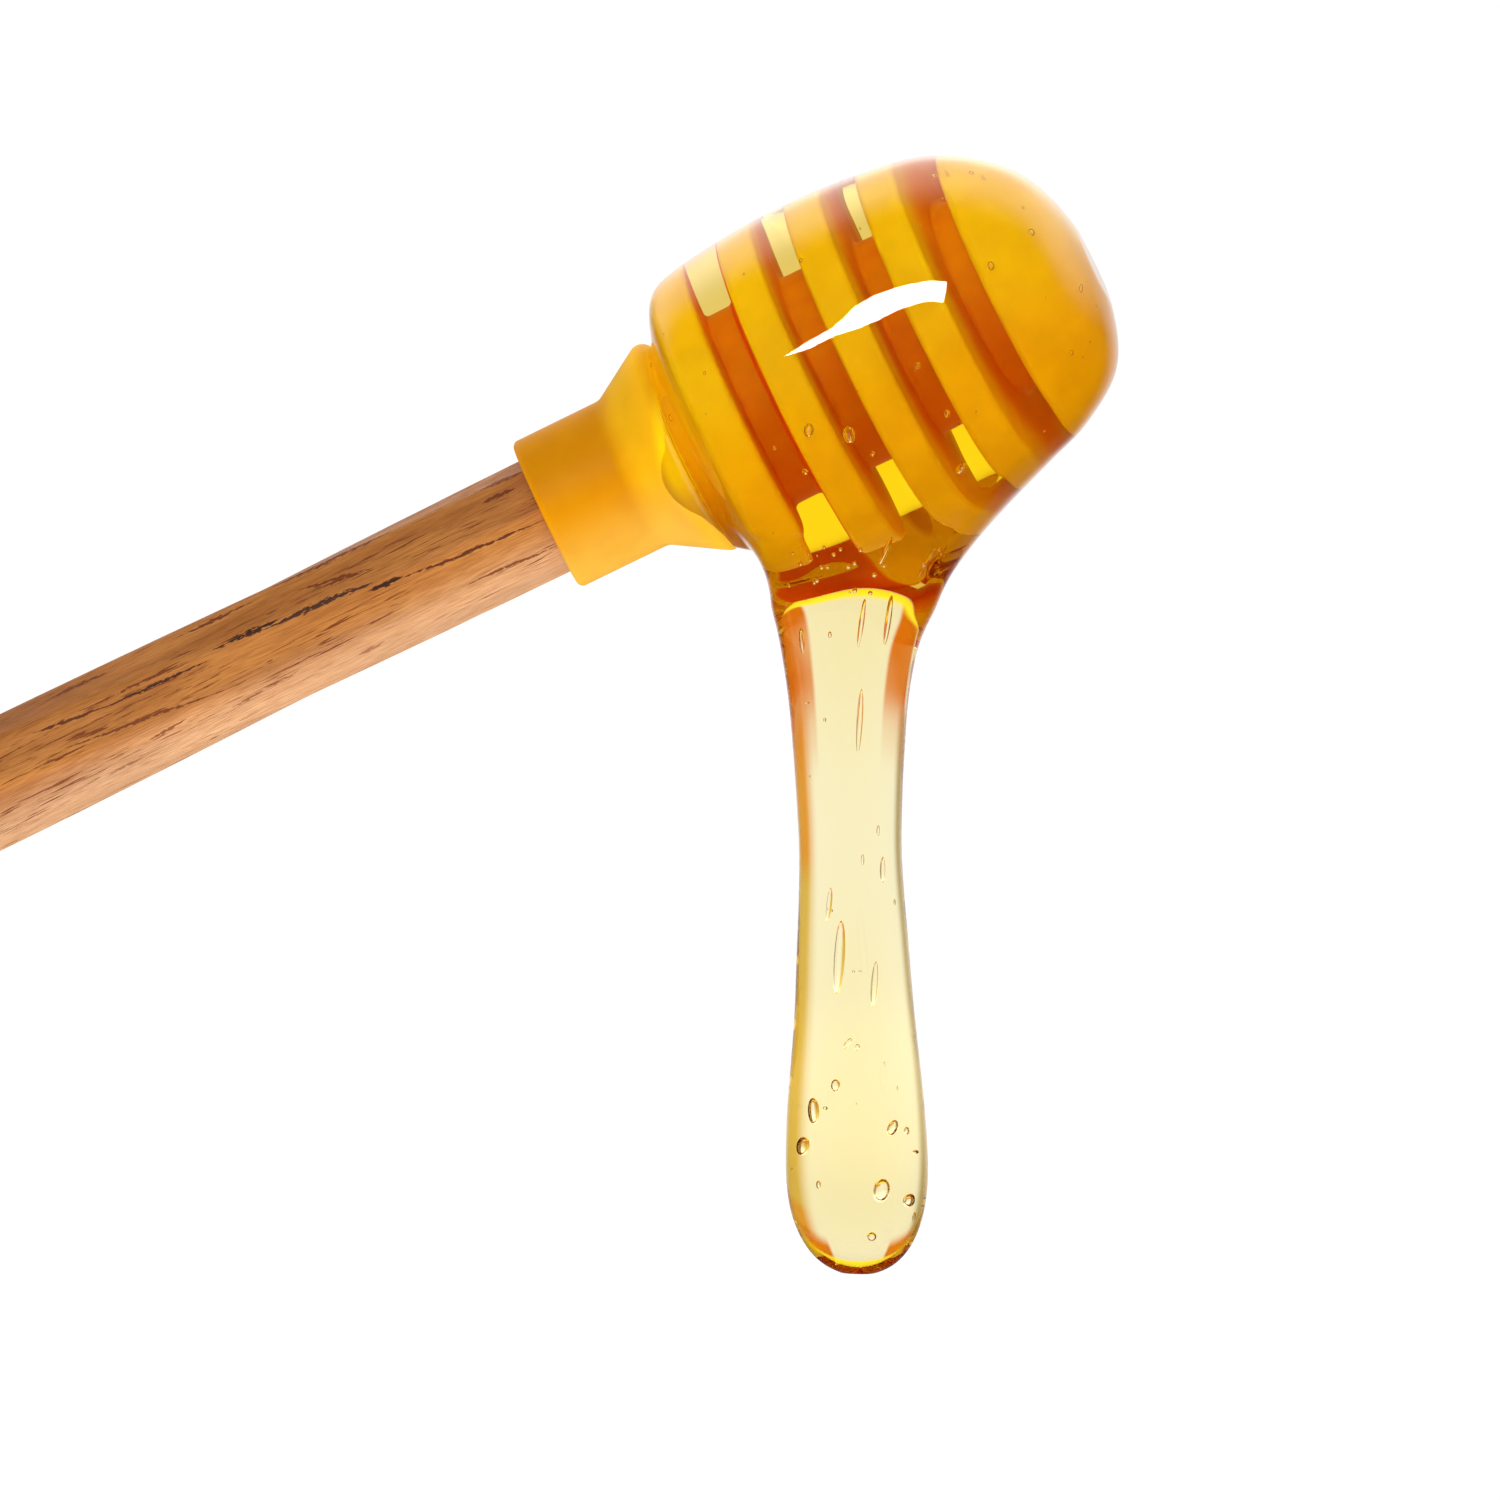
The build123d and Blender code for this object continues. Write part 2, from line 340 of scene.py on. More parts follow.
# %% The strand's rings, from the top down, as height, centre, half width and half depth
strand_rows = [
    (height * mm, centre * mm, width * mm, depth * mm)
    for height, centre, width, depth in (
        (19.0, 89.78, 8.2, 6.9),
        (17.0, 89.5, 7.3, 6.7),
        (14.5, 89.3, 6.65, 6.5),
        (12.0, 89.27, 6.25, 6.2),
        (9.5, 89.25, 5.9, 5.9),
        (6.5, 89.3, 5.65, 5.65),
        (3.0, 89.35, 5.35, 5.35),
        (-1.0, 89.45, 5.18, 5.18),
        (-5.0, 89.55, 5.13, 5.13),
        (-9.0, 89.72, 5.23, 5.23),
        (-13.0, 89.88, 5.43, 5.43),
        (-17.0, 90.0, 5.7, 5.7),
        (-21.0, 90.1, 6.0, 6.0),
        (-25.0, 90.22, 6.4, 6.4),
        (-29.0, 90.33, 6.8, 6.8),
        (-33.0, 90.42, 7.05, 7.05),
        (-37.0, 90.48, 7.12, 7.12),
        (-40.2, 90.52, 6.8, 6.8),
        (-42.7, 90.6, 6.05, 6.05),
        (-44.8, 90.68, 4.9, 4.9),
        (-46.2, 90.74, 3.4, 3.4),
        (-46.85, 90.76, 1.8, 1.8),
    )
]
print("strand:", len(strand_rows), "rings, the last at", strand_rows[-1][0] / mm, "mm")

# %% Helpers: the rim, the way down and the next loop
side_leave_pull, end_leave_pull = 1.05, 0.6
side_arrive_pull, end_arrive_pull = 0.36, 0.9
arrive_slope = 0.3


def open_rim(cage):
    """The open rim's vertices in order, counterclockwise from above, leftmost first."""
    first = next(v for v in cage.verts if v.is_boundary)
    ring = [first]
    edge = next(e for e in first.link_edges if e.is_boundary)
    while edge.other_vert(ring[-1]) is not first:
        ring.append(edge.other_vert(ring[-1]))
        edge = next(e for e in ring[-1].link_edges if e.is_boundary and e is not edge)
    pairs = zip(ring, ring[1:] + ring[:1])
    if sum(a.co.x * b.co.y - b.co.x * a.co.y for a, b in pairs) < 0:
        ring.reverse()
    start = min(range(len(ring)), key=lambda i: ring[i].co.x + abs(ring[i].co.y))
    return ring[start:] + ring[:start]


def fall(start, leave_along, end, share):
    """A point of the smooth curve from the rim down to the strand, at a share of the way."""
    chord = (end - start).length
    side = abs(start.y) / rim_half_depth
    inward = Vector((end.x - start.x, end.y - start.y, 0)).normalized()
    leave = leave_along * chord * (side_leave_pull * side + end_leave_pull * (1 - side))
    settle = (Vector((0, 0, -1)) + inward * arrive_slope * (1 - side)).normalized()
    arrive = settle * chord * (side_arrive_pull * side + end_arrive_pull * (1 - side))
    s = share
    return (
        start * (2 * s**3 - 3 * s**2 + 1)
        + leave * (s**3 - 2 * s**2 + s)
        + end * (-2 * s**3 + 3 * s**2)
        + arrive * (s**3 - s**2)
    )


def eased(points, rounds):
    """The points of a loop, each drawn towards its neighbours a number of times."""
    for turn in range(rounds):
        neighbours = zip(points[-1:] + points[:-1], points, points[1:] + points[:1])
        points = [before / 4 + point / 2 + after / 4 for before, point, after in neighbours]
    return points


def level_ring(row, count):
    """Points evenly round a level ring of the strand, from its leftmost one on."""
    height, centre, width, depth = row
    angles = [pi + 2 * pi * number / count for number in range(count)]
    return [Vector((centre + width * cos(a), depth * sin(a), height)) for a in angles]


def lay_next_loop(loop, points):
    """Extrude the selected loop, lay each new vertex on its point and return the new loop."""
    bpy.ops.mesh.extrude_edges_move()
    cage = bmesh.from_edit_mesh(honey.data)
    cage.verts.ensure_lookup_table()
    fresh = []
    for old in loop:
        others = [edge.other_vert(cage.verts[old]) for edge in cage.verts[old].link_edges]
        fresh.append(next(vertex for vertex in others if vertex.select))
    for vertex, point in zip(fresh, points):
        vertex.co = point
    bmesh.update_edit_mesh(honey.data)
    return [vertex.index for vertex in fresh]


print("helpers for the funnel are ready")

# %% Draw the honey down from the rim
funnel_steps = 10
funnel_easing = 8
cage = edit(honey)
rim = open_rim(cage)
strand_sides = len(rim)
rim_points = [vertex.co.copy() for vertex in rim]
rim_half_depth = max(abs(point.y) for point in rim_points)
leave_directions = []
for vertex in rim:
    inner = [e.other_vert(vertex).co for e in vertex.link_edges if not e.is_boundary]
    middle = sum(inner, Vector()) / len(inner)
    leave_directions.append((vertex.co - middle).normalized())
loop = [vertex.index for vertex in rim]
for vertex in rim:
    vertex.select_set(True)
cage.select_flush_mode()
bmesh.update_edit_mesh(honey.data)
landings = level_ring(strand_rows[0], strand_sides)
ways = list(zip(rim_points, leave_directions, landings))
for step in range(1, funnel_steps + 1):
    share = step / funnel_steps
    points = [fall(*way, share) for way in ways]
    loop = lay_next_loop(loop, eased(points, round(funnel_easing * sin(pi * share))))
for row in strand_rows[1:]:
    loop = lay_next_loop(loop, level_ring(row, strand_sides))
bpy.ops.mesh.fill_grid(span=strand_sides // 4)
bpy.ops.mesh.select_all(action="SELECT")
bpy.ops.mesh.normals_make_consistent(inside=False)
leave_edit()
print("cage of the whole honey:", len(honey.data.polygons), "faces,", strand_sides, "in a ring")

# %% [markdown]
# ## Smooth and ripple
# The subdivision surface rounds the cage. A slow, shallow noise then moves the surface by up
# to a tenth of a millimetre, because the reflection of a lamp on real honey has wavy edges.
# The noise is a Displace modifier, so that the ripple is in the mesh.

# %% Smooth the honey and ripple its surface
apply_modifier(honey, "SUBSURF", levels=2, render_levels=2)
ripple = bpy.data.textures.new("honey ripple", "CLOUDS")
ripple.noise_scale = 11 * mm
ripple.noise_depth = 0
apply_modifier(honey, "DISPLACE", texture=ripple, strength=0.22 * mm, mid_level=0.5)
print("honey:", triangles(honey), "triangles")

# %% [markdown]
# ## The space that the silicone takes
# The honey is one solid with a hollow in which the silicone head sits. Light has to pass from
# honey straight into silicone, with no film of air between them, so the hollow is cut a few
# hundredths of a millimetre smaller than the head and its wall lies just inside the silicone.
# The cutter is a second stack of rings, with the head's own sizes.

# %% The cutter's rings, with the head's own sizes
tuck = 0.06 * mm
cone_start, cone_end, cone_round = 10.5 * mm, 17 * mm, 1.2 * mm
core_radius = 7 * mm
ring_radii = [15.8 * mm * share for share in (0.88, 0.97, 1.0, 0.97)]
first_ring, ring_thickness, groove_width = 20.2 * mm, 3.8 * mm, 3.7 * mm
ring_round, ring_draft = 0.6 * mm, tan(radians(3))
start_dip, start_length, round_dip = 0.5 * mm, 1.5 * mm, 0.1 * mm
dome_start, dome_setback, dome_reach = 50.2 * mm, 3 * mm, 12.5 * mm
dome_radius = 14 * mm
dome_width = dome_radius / sqrt(1 - (dome_setback / dome_reach) ** 2)


def cone_radius(place_along):
    """The cone's radius at a place along the axis, a tuck under its surface."""
    return collar_radius + (place_along - cone_foot) * cone_slope - tuck


cutter_rows = [
    (cone_start, cone_radius(cone_start) - start_dip, 0),
    (cone_start + start_length, cone_radius(cone_start + start_length), 0),
    (cone_end - cone_round, cone_radius(cone_end - cone_round) - round_dip, 0),
    (cone_end - cone_round / 2, cone_radius(cone_end - cone_round) - 1.5 * round_dip, 0),
    (cone_end - tuck, cone_radius(cone_end - cone_round) - cone_round, 0),
    (cone_end - tuck, core_radius - tuck, 0),
]
for number, radius in enumerate(ring_radii):
    low = first_ring + number * (ring_thickness + groove_width) + tuck
    high = low + ring_thickness - 2 * tuck
    root = (radius - core_radius) * ring_draft
    cutter_rows += [
        (low - root, core_radius - tuck, 0),
        (low, radius - tuck - ring_round, 0),
        (low + ring_round, radius - tuck, 0),
        (high - ring_round, radius - tuck, 0),
        (high, radius - tuck - ring_round, 0),
        (high + root, core_radius - tuck, 0),
    ]
root = (dome_radius - core_radius) * ring_draft
cutter_rows += [
    (dome_start + tuck - root, core_radius - tuck, 0),
    (dome_start + tuck, dome_radius - tuck - ring_round, 0),
]
dome_steps, dome_first_share = 12, 0.2
for step in range(1, dome_steps):
    turn = pi / 2 * (dome_first_share + (1 - dome_first_share) * step / dome_steps)
    rise, radius = (dome_reach - tuck) * sin(turn), (dome_width - tuck) * cos(turn)
    cutter_rows.append((dome_start - dome_setback + rise, radius, 0))
print("cutter:", len(cutter_rows), "rings")

# %% Cut the hollow with the stack of rings
cutter_sides = 96
cutter = stack_rings("cutter", cutter_sides, cutter_rows)
bpy.ops.mesh.edge_face_add()
close_ring(cutter, cutter_rows[0])
bpy.ops.mesh.select_all(action="SELECT")
bpy.ops.mesh.normals_make_consistent(inside=False)
leave_edit()
place(cutter, to_dipper)
apply_modifier(honey, "BOOLEAN", object=cutter, operation="DIFFERENCE", solver="EXACT")
bpy.data.objects.remove(cutter)
print("honey with its hollow:", triangles(honey), "triangles")

# %% [markdown]
# ## Air bubbles
# Honey that has been stirred holds air: round bubbles in the head, and bubbles drawn out into
# long teardrops in the strand, where the flow stretched them. A bubble is a hole in the
# honey, so each one is a small sphere turned inside out and joined to the honey. The larger
# ones are named by the pixel of the photo where they show, and lie a little way behind the
# honey's front surface, found with a ray from the camera. A swarm of tiny ones fills the neck
# above the strand, where the flows from both sides of the head meet.

# %% Bubbles that the photo shows: pixel across, pixel down, width, height, depth, tilt
shown_bubbles = (
    (809, 429, 1.0, 1.4, 0.8, 10),
    (849, 433, 1.2, 1.7, 0.9, -8),
    (1030, 234, 0.7, 0.8, 0.6, 0),
    (990, 267, 0.7, 0.9, 0.6, 0),
    (960, 465, 1.1, 1.3, 1.2, 20),
    (946, 412, 0.6, 0.8, 1.0, 0),
    (1079, 289, 0.5, 1.0, 0.6, 20),
    (917, 366, 0.5, 0.9, 0.8, 20),
    (948, 184, 0.3, 2.4, 2.4, -14),
    (983, 188, 0.3, 2.2, 2.4, -10),
    (842, 958, 1.0, 7.4, 3.0, 2),
    (834, 905, 0.5, 3.4, 3.2, 4),
    (870, 985, 0.6, 4.6, 3.5, 3),
    (876, 870, 0.5, 2.6, 3.0, 0),
    (861, 622, 0.5, 5.0, 2.2, 8),
    (885, 618, 0.6, 5.2, 2.2, 8),
    (807, 640, 0.6, 2.6, 2.0, -4),
    (857, 720, 0.5, 6.5, 4.0, 2),
    (838, 1086, 0.9, 1.3, 2.0, 0),
    (818, 1111, 1.2, 2.6, 1.6, -4),
    (808, 1146, 1.5, 1.9, 1.4, 20),
    (888, 1128, 1.0, 1.7, 2.0, 24),
    (900, 1131, 0.6, 0.8, 2.4, 0),
    (878, 1189, 1.6, 2.3, 2.2, 10),
    (903, 1199, 1.4, 1.3, 1.8, -20),
    (870, 1233, 0.9, 0.9, 2.0, 0),
    (849, 1044, 0.5, 1.2, 3.0, 30),
    (857, 1048, 0.5, 0.7, 3.0, 0),
    (822, 1184, 0.5, 0.8, 1.6, 0),
    (910, 1152, 0.9, 0.4, 1.6, 0),
    (805, 470, 0.6, 0.6, 0.9, 0),
    (925, 560, 0.5, 3.4, 1.2, 26),
    (885, 548, 0.6, 3.2, 1.2, 20),
)
print("bubbles named by their pixel:", len(shown_bubbles))

# %% Helpers: a place under the surface, and one bubble
rings_of_a_bubble, sides_of_a_bubble = 8, 14


def under_surface(start, sight, depth):
    """A point a depth behind the first point of the honey's skin on a line, or None."""
    hit, where, normal, face = honey.ray_cast(start, sight)
    return where + sight * depth if hit and normal.dot(sight) < 0 else None


def add_bubble(centre, width, height, turn):
    """One small inside-out ellipsoid of air."""
    bpy.ops.object.select_all(action="DESELECT")
    bpy.ops.mesh.primitive_uv_sphere_add(
        segments=sides_of_a_bubble, ring_count=rings_of_a_bubble, radius=0.5, location=(0, 0, 0)
    )
    bubble = bpy.context.active_object
    size = Matrix.Diagonal((width, width, height, 1))
    place(bubble, Matrix.Translation(centre) @ Matrix.Rotation(turn, 4, "Y") @ size)
    edit(bubble)
    bpy.ops.mesh.select_all(action="SELECT")
    bpy.ops.mesh.flip_normals()
    leave_edit()
    return bubble


print("a bubble is a ball of", rings_of_a_bubble, "by", sides_of_a_bubble, "faces")

# %% Add the bubbles that the photo shows, and the swarm in the neck
neck_bubbles = 22
neck_pixels_across, neck_pixels_down = (782, 942), (545, 598)
neck_widths, neck_depths, neck_stretches = (0.25, 0.5), (0.4, 1.5), (1, 1.5)
rng = random.Random(7)
bubbles = []
for across_px, down_px, width, height, depth, tilt in shown_bubbles:
    centre = under_surface(*sight_line(across_px, down_px), (depth + width / 2) * mm)
    if centre:
        bubbles.append(add_bubble(centre, width * mm, height * mm, radians(tilt)))
for number in range(neck_bubbles):
    pixel = rng.uniform(*neck_pixels_across), rng.uniform(*neck_pixels_down)
    width = rng.uniform(*neck_widths)
    centre = under_surface(*sight_line(*pixel), (rng.uniform(*neck_depths) + width / 2) * mm)
    if centre:
        height = width * rng.uniform(*neck_stretches)
        bubbles.append(add_bubble(centre, width * mm, height * mm, 0))
print("bubbles that the photo shows, with the swarm:", len(bubbles))

# %% [markdown]
# ## Scattered bubbles
# Smaller bubbles are everywhere, also at the sides that the photo doesn't show. A seeded
# random draw picks a place and a direction, a ray finds the honey's skin from outside, and
# the bubble goes just under it. Every fourth one goes to the strand, where the bubbles are
# longer than wide.

# %% Scatter small bubbles
scattered_bubbles, strand_every = 110, 4
smallest_bubble, largest_bubble = 0.12 * mm, 0.5 * mm
head_centre, head_reach = mouth + along * 38 * mm, 17
strand_middle, strand_low, strand_high = 90 * mm, -42, 20
cast_from, least_depth, most_depth = 60 * mm, 0.3, 1.3
for number in range(scattered_bubbles):
    turn = rng.uniform(0, 2 * pi)
    size = smallest_bubble + (largest_bubble - smallest_bubble) * rng.random() ** 3
    if number % strand_every:
        target = head_centre + along * rng.uniform(-head_reach, head_reach) * mm
        outward = Vector((rng.uniform(-1, 1), rng.uniform(-1, 1), rng.uniform(-1, 1)))
        stretch = rng.uniform(1.0, 1.4)
    else:
        target = Vector((strand_middle, 0, rng.uniform(strand_low, strand_high) * mm))
        outward = Vector((cos(turn), sin(turn), 0))
        stretch = rng.uniform(1.2, 3.5)
    outward.normalize()
    depth = size * stretch / 2 + rng.uniform(least_depth, most_depth) * mm
    centre = under_surface(target + outward * cast_from, -outward, depth)
    if centre:
        bubbles.append(add_bubble(centre, size, size * stretch, 0))
take(honey)
for bubble in bubbles:
    bubble.select_set(True)
bpy.ops.object.join()
bpy.ops.object.shade_smooth_by_angle(angle=radians(40))
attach(honey, "head")
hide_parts("honey_coat", "honey_drip")
print("honey with", len(bubbles), "bubbles:", triangles(honey), "triangles")

# %% [markdown]
# ## Finish of the honey
# Honey is clear and coloured by depth: thin, it is pale straw, and thick, it is amber. So the
# surface itself has no colour. It only refracts, with honey's own index, and the colour comes
# from absorption inside, per metre of path, which is strongest for blue.

# %% Clear honey
def new_material(name):
    """A node material, with its nodes and its links."""
    material = bpy.data.materials.new(name)
    material.use_nodes = True
    return material, material.node_tree.nodes, material.node_tree.links


def dress(thing, material):
    """Give an object one material in place of those that it has."""
    thing.data.materials.clear()
    thing.data.materials.append(material)


clear_honey, nodes, links = new_material("clear honey")
shader = nodes["Principled BSDF"]
shader.inputs["Base Color"].default_value = (1, 1, 1, 1)
shader.inputs["Roughness"].default_value = 0.0
shader.inputs["IOR"].default_value = 1.49
shader.inputs["Transmission Weight"].default_value = 1.0
absorption = nodes.new("ShaderNodeVolumeAbsorption")
absorbed_per_metre = (7.0, 16.5, 64.0)
density = 75
kept = [1 - absorbed / density for absorbed in absorbed_per_metre]
absorption.inputs["Color"].default_value = (*kept, 1)
absorption.inputs["Density"].default_value = density
links.new(absorption.outputs["Volume"], nodes["Material Output"].inputs["Volume"])
dress(honey, clear_honey)
print("honey lets through", [round(exp(-a * 0.01), 2) for a in absorbed_per_metre], "in 10 mm")

# %% [markdown]
# ## Helpers for node materials
# A pattern on the dipper runs along its axis, so each material first turns its coordinates:
# X along the axis, Y across, Z up. The helpers add a node, set it and link it in one call.

# %% Node helpers
class Nodes:
    """A material's node tree with short calls for the nodes that these finishes use."""

    def __init__(self, name, lean=lean_angle, start=grip_to_mouth):
        self.material, self.nodes, self.links = new_material(name)
        self.shader = self.nodes["Principled BSDF"]
        coordinates = self.add("ShaderNodeTexCoord")
        self.turned = self.add("ShaderNodeMapping")
        self.turned.inputs["Rotation"].default_value = (0, lean, 0)
        self.turned.inputs["Location"].default_value = (-start, 0, 0)
        self.links.new(coordinates.outputs["Object"], self.turned.inputs["Vector"])
        parts = self.add("ShaderNodeSeparateXYZ")
        self.links.new(self.turned.outputs[0], parts.inputs[0])
        self.x, self.y, self.z = parts.outputs

    def add(self, kind, **settings):
        """Add a node of one kind and set it."""
        node = self.nodes.new(kind)
        for key, value in settings.items():
            setattr(node, key, value)
        return node

    def feed(self, socket, value):
        """Link an output to a socket, or set the socket to a fixed value."""
        if isinstance(value, bpy.types.NodeSocket):
            self.links.new(value, socket)
        else:
            socket.default_value = value

    def math(self, operation, first, second=0.0):
        """One sum or comparison of two values."""
        node = self.add("ShaderNodeMath", operation=operation)
        self.feed(node.inputs[0], first)
        self.feed(node.inputs[1], second)
        return node.outputs[0]

    def span(self, value, low, high, to_low=0.0, to_high=1.0, smooth=True):
        """Map a value from low..high to to_low..to_high, clamped."""
        kind = "SMOOTHSTEP" if smooth else "LINEAR"
        node = self.add("ShaderNodeMapRange", interpolation_type=kind)
        for socket, number in zip(node.inputs, (value, low, high, to_low, to_high)):
            self.feed(socket, number)
        return node.outputs[0]

    def noise(self, scale, detail=2.0, roughness=0.5, offset=(0, 0, 0)):
        """Noise on the turned coordinates, with a scale per metre for each direction."""
        mapping = self.add("ShaderNodeMapping")
        mapping.inputs["Scale"].default_value = scale
        mapping.inputs["Location"].default_value = offset
        self.links.new(self.turned.outputs[0], mapping.inputs["Vector"])
        node = self.add("ShaderNodeTexNoise")
        node.inputs["Scale"].default_value = 1.0
        node.inputs["Detail"].default_value = detail
        node.inputs["Roughness"].default_value = roughness
        self.links.new(mapping.outputs[0], node.inputs["Vector"])
        return node.outputs["Fac"]

    def blend(self, share, first, second, kind="MIX"):
        """Mix two colours by a share."""
        node = self.add("ShaderNodeMix", data_type="RGBA", blend_type=kind)
        self.feed(node.inputs["Factor"], share)
        self.feed(node.inputs["A"], first)
        self.feed(node.inputs["B"], second)
        return node.outputs["Result"]

    def bump(self, height, distance, strength=1.0, under=None):
        """A normal that rises with a height, on top of another normal if one is given."""
        node = self.add("ShaderNodeBump")
        node.inputs["Distance"].default_value = distance
        node.inputs["Strength"].default_value = strength
        self.feed(node.inputs["Height"], height)
        if under:
            self.links.new(under, node.inputs["Normal"])
        return node.outputs["Normal"]


print("node helpers are ready")

# %% [markdown]
# ## Finish of the silicone
# Moulded silicone is satin, a little translucent, and even in colour, so apart from a faint
# mottle its changes of colour below are painted light and shade. On the bare part the collar
# is painted darker than the cone, which faces the light, and the underside is painted paler, a
# painted sheen from below. Under the honey, three colours are painted shade that also stands
# for the honey's depth: the orange in the grooves, the darker lower parts, and the red on the
# flank of the second ring that faces the handle, which only shows mirrored in the neck of honey
# over the strand. The silicone under the film is painted lighter, and darker at its underside.
# So the colour follows the place along the axis, the distance from it and the height, with a
# slow swirl in the grooves. A weak painted glow stands for the bright surroundings that shine
# through the silicone, most at its thin rims. It also lifts the shade in the narrow gap behind
# the cone. A very fine grain breaks the gloss.

# %% Satin silicone: the bare collar and cone, painted lighter where light falls
silicone = Nodes("satin silicone")
# Painted light and shade: the collar is painted darker and the cone lighter, as it faces the light.
# The underside is painted paler, with blue in it, as a painted sheen of the bright floor below.
shaded_collar_colour = (0.72, 0.28, 0.0005, 1)
lit_cone_colour = (0.86, 0.44, 0.004, 1)
underside_sheen_colour = (0.72, 0.38, 0.04, 1)
collar_to_cone, painted_sheen_heights = (9 * mm, 12.5 * mm), (-1 * mm, -8 * mm)
on_cone = silicone.span(silicone.x, *collar_to_cone)
bare = silicone.blend(on_cone, shaded_collar_colour, lit_cone_colour)
bare = silicone.blend(silicone.span(silicone.z, *painted_sheen_heights), bare, underside_sheen_colour)
print("bare silicone takes", len(silicone.nodes), "nodes")

# %% Satin silicone: the rings and the grooves, under honey, with painted shade
# Painted shade: the grooves are painted a deeper orange than the rings, and rings and grooves are
# both painted darker low down.
ring_high, shaded_ring_low = (0.97, 0.60, 0.001, 1), (0.94, 0.48, 0.001, 1)
shaded_groove_high, shaded_groove_low = (0.98, 0.44, 0.002, 1), (0.88, 0.26, 0.001, 1)
groove_heights, ring_heights, swirl_reach = (-7 * mm, 11 * mm), (-9 * mm, 4 * mm), 22 * mm
grooves_begin, groove_walls = (20 * mm, 24 * mm), (9 * mm, 13.5 * mm)
dome_begins = (50.0 * mm, 50.4 * mm)
swirl = silicone.noise((90, 260, 160), detail=2.0, offset=(1, 4, 2))
up_and_swirl = silicone.math(
    "ADD", silicone.z, silicone.math("MULTIPLY", silicone.math("SUBTRACT", swirl, 0.5), swirl_reach)
)
groove = silicone.blend(silicone.span(up_and_swirl, *groove_heights), shaded_groove_low, shaded_groove_high)
ring = silicone.blend(silicone.span(silicone.z, *ring_heights), shaded_ring_low, ring_high)
from_axis = silicone.math(
    "SQRT",
    silicone.math(
        "ADD",
        silicone.math("MULTIPLY", silicone.y, silicone.y),
        silicone.math("MULTIPLY", silicone.z, silicone.z),
    ),
)
in_groove = silicone.math(
    "MULTIPLY",
    silicone.span(silicone.x, *grooves_begin),
    silicone.span(from_axis, *groove_walls, 1.0, 0.0),
)
before_dome = silicone.span(silicone.x, *dome_begins, 1.0, 0.0)
covered = silicone.blend(silicone.math("MULTIPLY", in_groove, before_dome), ring, groove)
print("with rings and grooves it takes", len(silicone.nodes), "nodes")

# %% Satin silicone: painted shade on the hidden flank, painted light under the film, a mottle
# Painted shade: the flank of the second ring that faces the handle is painted red, which also
# stands for the honey's depth there. Painted light and shade: under the film the silicone is
# painted lighter than the bare cone, and darker at its underside. The mottle is the silicone's own.
hidden_flank_shade, mottle_colour = (0.97, 0.17, 0.001, 1), (0.93, 0.90, 0.85, 1)
flank_begins, flank_ends = (26.9 * mm, 27.1 * mm), (27.75 * mm, 27.85 * mm)
lit_film_colour, shaded_film_colour = (0.98, 0.62, 0.002, 1), (0.80, 0.40, 0.02, 1)
film_heights, film_edges = (-3 * mm, 9 * mm), (13.6 * mm, 17 * mm)
film_underside, film_fade = (-3 * mm, -8 * mm), (-0.3 * mm, 1.2 * mm)
cone_to_rings = (16.5 * mm, 17 * mm)
on_hidden_flank = silicone.math(
    "MULTIPLY",
    silicone.span(silicone.x, *flank_begins),
    silicone.span(silicone.x, *flank_ends, 1.0, 0.0),
)
covered = silicone.blend(on_hidden_flank, covered, hidden_flank_shade)
film_edge = silicone.span(silicone.z, *film_heights, *film_edges)
past_edge = silicone.math("SUBTRACT", silicone.x, film_edge)
under_film = silicone.span(silicone.z, *film_underside)
filmed = silicone.blend(under_film, lit_film_colour, shaded_film_colour)
colour = silicone.blend(silicone.span(past_edge, *film_fade), bare, filmed)
colour = silicone.blend(silicone.span(silicone.x, *cone_to_rings), colour, covered)
mottle = silicone.span(silicone.noise((180, 180, 180)), 0.35, 0.65)
colour = silicone.blend(mottle, colour, mottle_colour, "MULTIPLY")
silicone.feed(silicone.shader.inputs["Base Color"], colour)
silicone.feed(silicone.shader.inputs["Emission Color"], colour)
print("its whole colour takes", len(silicone.nodes), "nodes")

# %% Satin silicone: painted glow, gloss and grain
# Painted light: an emission on the silicone under the honey. It stands for light shining through
# the thin rims, and it lifts the shade in the narrow gap between the cone and the first ring, above
# the underside.
glow_heights, glow_strengths, gap_glow = (3 * mm, 12 * mm), (0.035, 0.1), 0.1
film_begins, gap_ends = (13 * mm, 16 * mm), (19.8 * mm, 20.4 * mm)
from_middle = silicone.math("ABSOLUTE", silicone.z)
painted_glow = silicone.span(from_middle, *glow_heights, *glow_strengths)
at_film = silicone.span(silicone.x, *film_begins)
painted_gap_light = silicone.span(silicone.x, *gap_ends, gap_glow, 0.0)
painted_gap_light = silicone.math("MULTIPLY", painted_gap_light, silicone.math("SUBTRACT", 1.0, under_film))
painted_glow = silicone.math("MULTIPLY", silicone.math("ADD", painted_glow, painted_gap_light), at_film)
silicone.feed(silicone.shader.inputs["Emission Strength"], painted_glow)
silicone.shader.inputs["Roughness"].default_value = 0.42
silicone.shader.inputs["Specular IOR Level"].default_value = 0.03
silicone.shader.inputs["Subsurface Weight"].default_value = 0.25
silicone.shader.inputs["Subsurface Radius"].default_value = (1.0, 0.45, 0.1)
silicone.shader.inputs["Subsurface Scale"].default_value = 1.2 * mm
grain = silicone.noise((5200, 5200, 5200), detail=1.0)
silicone.feed(silicone.shader.inputs["Normal"], silicone.bump(grain, 0.02 * mm, 0.35))
dress(frame["nodes"]["dipper_head"], silicone.material)
print("silicone has", len(silicone.nodes), "nodes")
